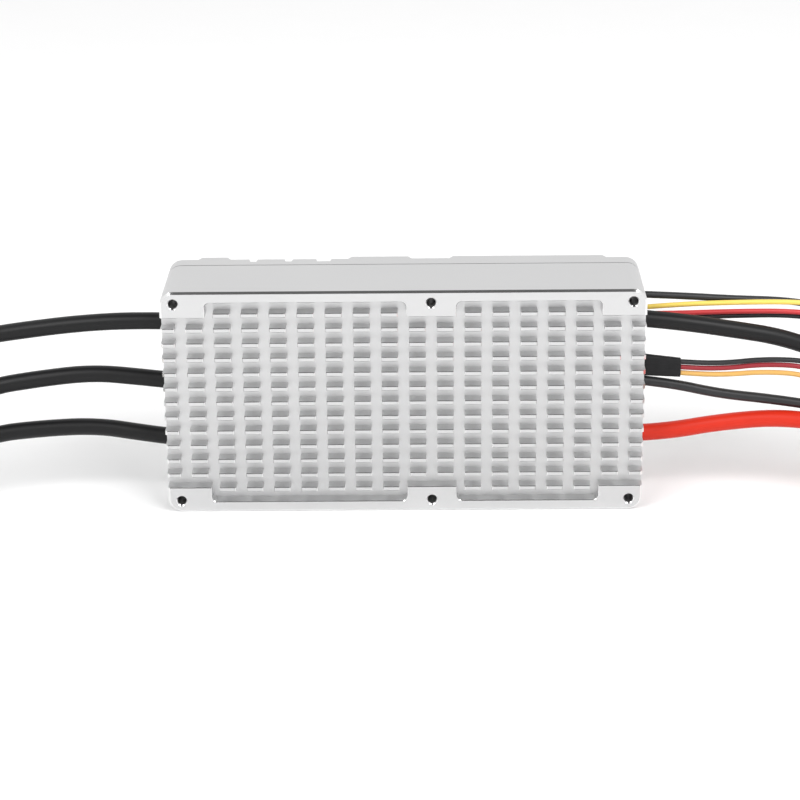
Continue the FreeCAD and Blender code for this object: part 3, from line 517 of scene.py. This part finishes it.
PROGRAM_ROUTES = {
    "black": [
        (0.0835, -0.002, 0.0526), (0.099, -0.002, 0.0512), (0.116, -0.002, 0.0502),
        (0.133, -0.002, 0.052), (0.151, -0.0025, 0.051), (0.166, -0.0025, 0.042),
        (0.176, -0.0015, 0.028), (0.185, -0.0005, 0.013), (0.197, 0.0001, 0.0027),
        (0.21, 0.0003, 0.0012), (0.219, 0.0, 0.0012), (0.2264, 0.0002, 0.0012),
        (0.2328, -0.0059, 0.0012), (0.2328, -0.0153, 0.0012), (0.2264, -0.0214, 0.0012),
        (0.219, -0.0218, 0.0012), (0.21, -0.0213, 0.0012),
    ],
    "red": [
        (0.0835, -0.002, 0.0505), (0.099, -0.002, 0.0491), (0.116, -0.002, 0.0481),
        (0.133, -0.002, 0.05), (0.15, -0.003, 0.049), (0.164, -0.0035, 0.04),
        (0.174, -0.003, 0.026), (0.183, -0.0025, 0.012), (0.196, -0.0019, 0.0025),
        (0.21, -0.0017, 0.0012), (0.219, -0.002, 0.0012), (0.2256, -0.0018, 0.0012),
        (0.2307, -0.0067, 0.0012), (0.2307, -0.0145, 0.0012), (0.2256, -0.0194, 0.0012),
        (0.219, -0.0198, 0.0012), (0.21, -0.0193, 0.0012),
    ],
    "yellow": [
        (0.0835, -0.002, 0.0484), (0.099, -0.002, 0.0469), (0.116, -0.002, 0.0457),
        (0.133, -0.002, 0.047), (0.149, -0.0033, 0.046), (0.162, -0.0045, 0.0375),
        (0.172, -0.0047, 0.024), (0.181, -0.0044, 0.011), (0.195, -0.0039, 0.0024),
        (0.21, -0.0037, 0.0012), (0.219, -0.004, 0.0012), (0.2247, -0.0039, 0.0012),
        (0.2286, -0.0077, 0.0012), (0.2286, -0.0135, 0.0012), (0.2247, -0.0173, 0.0012),
        (0.219, -0.0177, 0.0012), (0.21, -0.0173, 0.0012),
    ],
}

# Sleeve of the program lead: flat black heat-shrink that holds its three wires together where
# they leave the seal. It is shrunk a little into the gaps between them.
SLEEVE_X = (0.0870, 0.1016)
SLEEVE_HEIGHT = (0.0084, 0.0073)
SLEEVE_WIDTH = (0.0034, 0.0031)
SLEEVE_WALL = 0.0004
SLEEVE_MOUTH = 0.0015
SLEEVE_RINGS = 39
SLEEVE_RIPPLE = 0.00005


def flat_sleeve(name, route, material):
    """A flat tube round three wires one above another.

    With u the sine of the angle a round it, a point of it is half the height times u up, and
    half the width times (1 - u^6)^0.45 out, less 8% between the wires, where
    1 - cos(4 pi u) is largest. At the open end the edge rolls half round into the mouth.
    """
    turn = np.linspace(0, math.pi, 9)
    roll = SLEEVE_WALL / 2
    x = np.r_[
        np.linspace(SLEEVE_X[0], SLEEVE_X[1] - roll, SLEEVE_RINGS + 1)[:-1],
        SLEEVE_X[1] - roll + roll * np.sin(turn), SLEEVE_X[1] - SLEEVE_MOUTH,
    ]
    thin = np.r_[np.zeros(SLEEVE_RINGS), roll * (1 - np.cos(turn)), SLEEVE_WALL]
    share = (x - SLEEVE_X[0]) / (SLEEVE_X[1] - SLEEVE_X[0])
    tall = np.interp(share, (0, 1), SLEEVE_HEIGHT) / 2 - thin
    wide = np.interp(share, (0, 1), SLEEVE_WIDTH) / 2 - thin
    start, after = np.array(route[0]), np.array(route[1])
    middle = start + (after - start) * ((x - start[0]) / (after[0] - start[0]))[:, None]
    a = np.linspace(0, 2 * math.pi, 96, endpoint=False)
    u = np.sin(a)
    pinch = 1 - 0.08 * (1 - np.cos(4 * math.pi * u)) / 2
    out = np.sign(np.cos(a)) * (1 - u ** 6) ** 0.45 * pinch
    ripple = SLEEVE_RIPPLE * np.sin(share * 23)[:, None] * np.cos(2 * a)
    rings = np.stack([
        np.repeat(x[:, None], len(a), 1),
        middle[:, 1:2] + wide[:, None] * out + ripple,
        middle[:, 2:3] + tall[:, None] * u,
    ], -1)
    return skin(name, rings, material)


sleeve = flat_sleeve("program_flat_sleeve", PROGRAM_ROUTES["red"], shrink_black)
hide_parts("program_sleeve")
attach(sleeve, "root")

# Wires of the servo leads: fine copper in shiny coloured plastic, yellow, red and black on the
# throttle lead, darker shades on the program lead.


def plastic(name, first, second, roughness):
    """Extruded plastic sleeve: even colour, a soft gloss and shallow ripples along it."""
    sleeve = Finish(name, Specular_IOR_Level=0.45)
    ripple = sleeve.noise(1.0, 2, 0.5, (220, 8, 1), "UV")
    sleeve.feed("Base Color", sleeve.blend(first, second, ripple))
    sleeve.feed("Roughness", ripple * 0.12 + roughness)
    sleeve.relief(ripple, 0.00004, 0.35)
    return sleeve.material


yellow_plastic = plastic("yellow_plastic", (0.86, 0.60, 0.10), (0.92, 0.70, 0.16), 0.34)
ochre_plastic = plastic("ochre_plastic", (0.66, 0.36, 0.09), (0.76, 0.46, 0.13), 0.30)
crimson_plastic = plastic("crimson_plastic", (0.26, 0.012, 0.020), (0.34, 0.020, 0.030), 0.30)
red_plastic = plastic("red_plastic", (0.50, 0.030, 0.035), (0.60, 0.045, 0.050), 0.34)
black_plastic = plastic("black_plastic", (0.010, 0.010, 0.011), (0.022, 0.022, 0.024), 0.34)
SIGNAL_FINISH = {
    ("throttle", "yellow"): (yellow_plastic, "yellow_pvc", 0.228),
    ("throttle", "red"): (red_plastic, "red_pvc", 0.219),
    ("throttle", "black"): (black_plastic, "black_pvc", 0.211),
    ("program", "black"): (black_plastic, "black_pvc", 0.205),
    ("program", "red"): (crimson_plastic, "red_pvc", 0.197),
    ("program", "yellow"): (ochre_plastic, "yellow_pvc", 0.188),
}
for (kind, colour), (material, slot, length) in SIGNAL_FINISH.items():
    route = (THROTTLE_ROUTES if kind == "throttle" else PROGRAM_ROUTES)[colour]
    piece, line = round_lead(f"{kind}_lead_{colour}", route, SIGNAL_WIRE, material, 16, 0.0005)
    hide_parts(f"{kind}_wire_{colour}")
    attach(piece, "root")
    on_it = [f"{kind}_plug", "plug_contacts"] + [sleeve] * (kind == "program")

# Data and link cables: round black cables of fine wires, moulded in one jacket, each crimped
# into its small plug, white on the data cable and black on the link cable.
DATA_CABLE = 0.0026
DATA_ROUTE = [
    (0.0835, 0.007, 0.0744), (0.102, 0.0075, 0.0734), (0.121, 0.0093, 0.0715),
    (0.142, 0.012, 0.0698), (0.156, 0.015, 0.066), (0.168, 0.0185, 0.055),
    (0.176, 0.0215, 0.039), (0.183, 0.0238, 0.023), (0.192, 0.0258, 0.0092),
    (0.205, 0.0272, 0.0025), (0.218, 0.0276, 0.0016),
]
LINK_CABLE = 0.0037
LINK_ROUTE = [
    (0.0835, -0.002, 0.0444), (0.098, -0.0025, 0.0429), (0.116, -0.0035, 0.039),
    (0.136, -0.0045, 0.037), (0.155, -0.0065, 0.0345), (0.171, -0.0085, 0.0245),
    (0.185, -0.0098, 0.0122), (0.198, -0.0102, 0.0044), (0.211, -0.0104, 0.0022),
]
for kind, route, diameter, length in (
    ("data", DATA_ROUTE, DATA_CABLE, 0.169), ("link", LINK_ROUTE, LINK_CABLE, 0.138),
):
    piece, line = round_lead(f"{kind}_lead", route, diameter, black_plastic, 24, 0.0006)
    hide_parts(f"{kind}_cable")
    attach(piece, "root")

# Plugs: moulded housings, black nylon on the servo leads and the link cable, and milky white
# nylon on the data cable.
BLACK_NYLON = ((0.012, 0.012, 0.013), (0.028, 0.028, 0.03))
WHITE_NYLON = ((0.72, 0.70, 0.65), (0.80, 0.78, 0.73))
plug_black = Finish("plug_black", Roughness=0.42)
plug_black.feed("Base Color", plug_black.blend(*BLACK_NYLON, plug_black.noise(600, 3)))
plug_white = Finish("plug_white", Roughness=0.38, Subsurface_Weight=0.15)
plug_white.feed("Base Color", plug_white.blend(*WHITE_NYLON, plug_white.noise(600, 3)))
for node in ("throttle_plug", "program_plug", "link_plug"):
    dress(node, plug_black.material)
dress("data_plug", plug_white.material)

# Studio: a plain pale table that runs out of sight, a bright room with a dim ceiling, and
# two large soft lamps, one on each side.
table = bpy.data.meshes.new("table_top")
table.from_pydata([(-6, -4, 0), (6, -4, 0), (6, 8, 0), (-6, 8, 0)], [], [(0, 1, 2, 3)])
paper = Finish("table_paper", Roughness=0.9, Specular_IOR_Level=0.1)
PAPER_DARK = (0.94, 0.94, 0.94)
PAPER_PALE = (0.955, 0.955, 0.955)
paper.feed("Base Color", paper.blend(PAPER_DARK, PAPER_PALE, paper.noise(30, 2)))
table.materials.append(paper.material)
top = bpy.data.objects.new("table_top", table)
bpy.context.scene.collection.objects.link(top)

scene = bpy.context.scene
scene.view_settings.view_transform = "Standard"
room = bpy.data.worlds.new("room")
scene.world = room
room.use_nodes = True
sky = Nodes(room.node_tree, "Background")
_, depth, height = sky.axes(sky.node("TexCoord", output="Generated"))
WALL_LIGHT = 0.93
CEILING_LIGHT = 0.10
walls = WALL_LIGHT + depth * 0.06
ceiling = (height - depth * 0.25).step(0.82, 0.96)
light = walls * (1 - ceiling) + ceiling * CEILING_LIGHT
sky.feed("Strength", light)
sky.feed("Color", (1.0, 1.0, 1.0))


def soft_lamp(name, place, aim, size, power):
    """A square soft box that faces the point that it lights."""
    lamp = bpy.data.lights.new(name, "AREA")
    lamp.size = size
    lamp.energy = power
    holder = bpy.data.objects.new(name, lamp)
    scene.collection.objects.link(holder)
    holder.location = place
    away = holder.location - type(holder.location)(aim)
    holder.rotation_euler = away.to_track_quat("Z", "Y").to_euler()


LAMP_AIM = (0, 0.1, 0)
LAMP_SIZE = 1.1
soft_lamp("left_box", (-1.1, -1.3, 1.75), LAMP_AIM, LAMP_SIZE, 22)
soft_lamp("right_box", (1.1, -1.3, 1.75), LAMP_AIM, LAMP_SIZE, 27)

# Camera: in front of the case and a little above it, with a long lens. It looks down by about
# 21 degrees and is rolled by half a degree.
camera = bpy.data.objects.new("camera", bpy.data.cameras.new("camera"))
camera.data.sensor_width = 36.0
camera.data.lens = 104.175
camera.data.clip_start = 0.01
camera.location = (0.00763, -0.7999, 0.34837)
camera.rotation_euler = tuple(math.radians(k) for k in (68.6602, 0.57025, 0.44285))
scene.collection.objects.link(camera)
scene.camera = camera
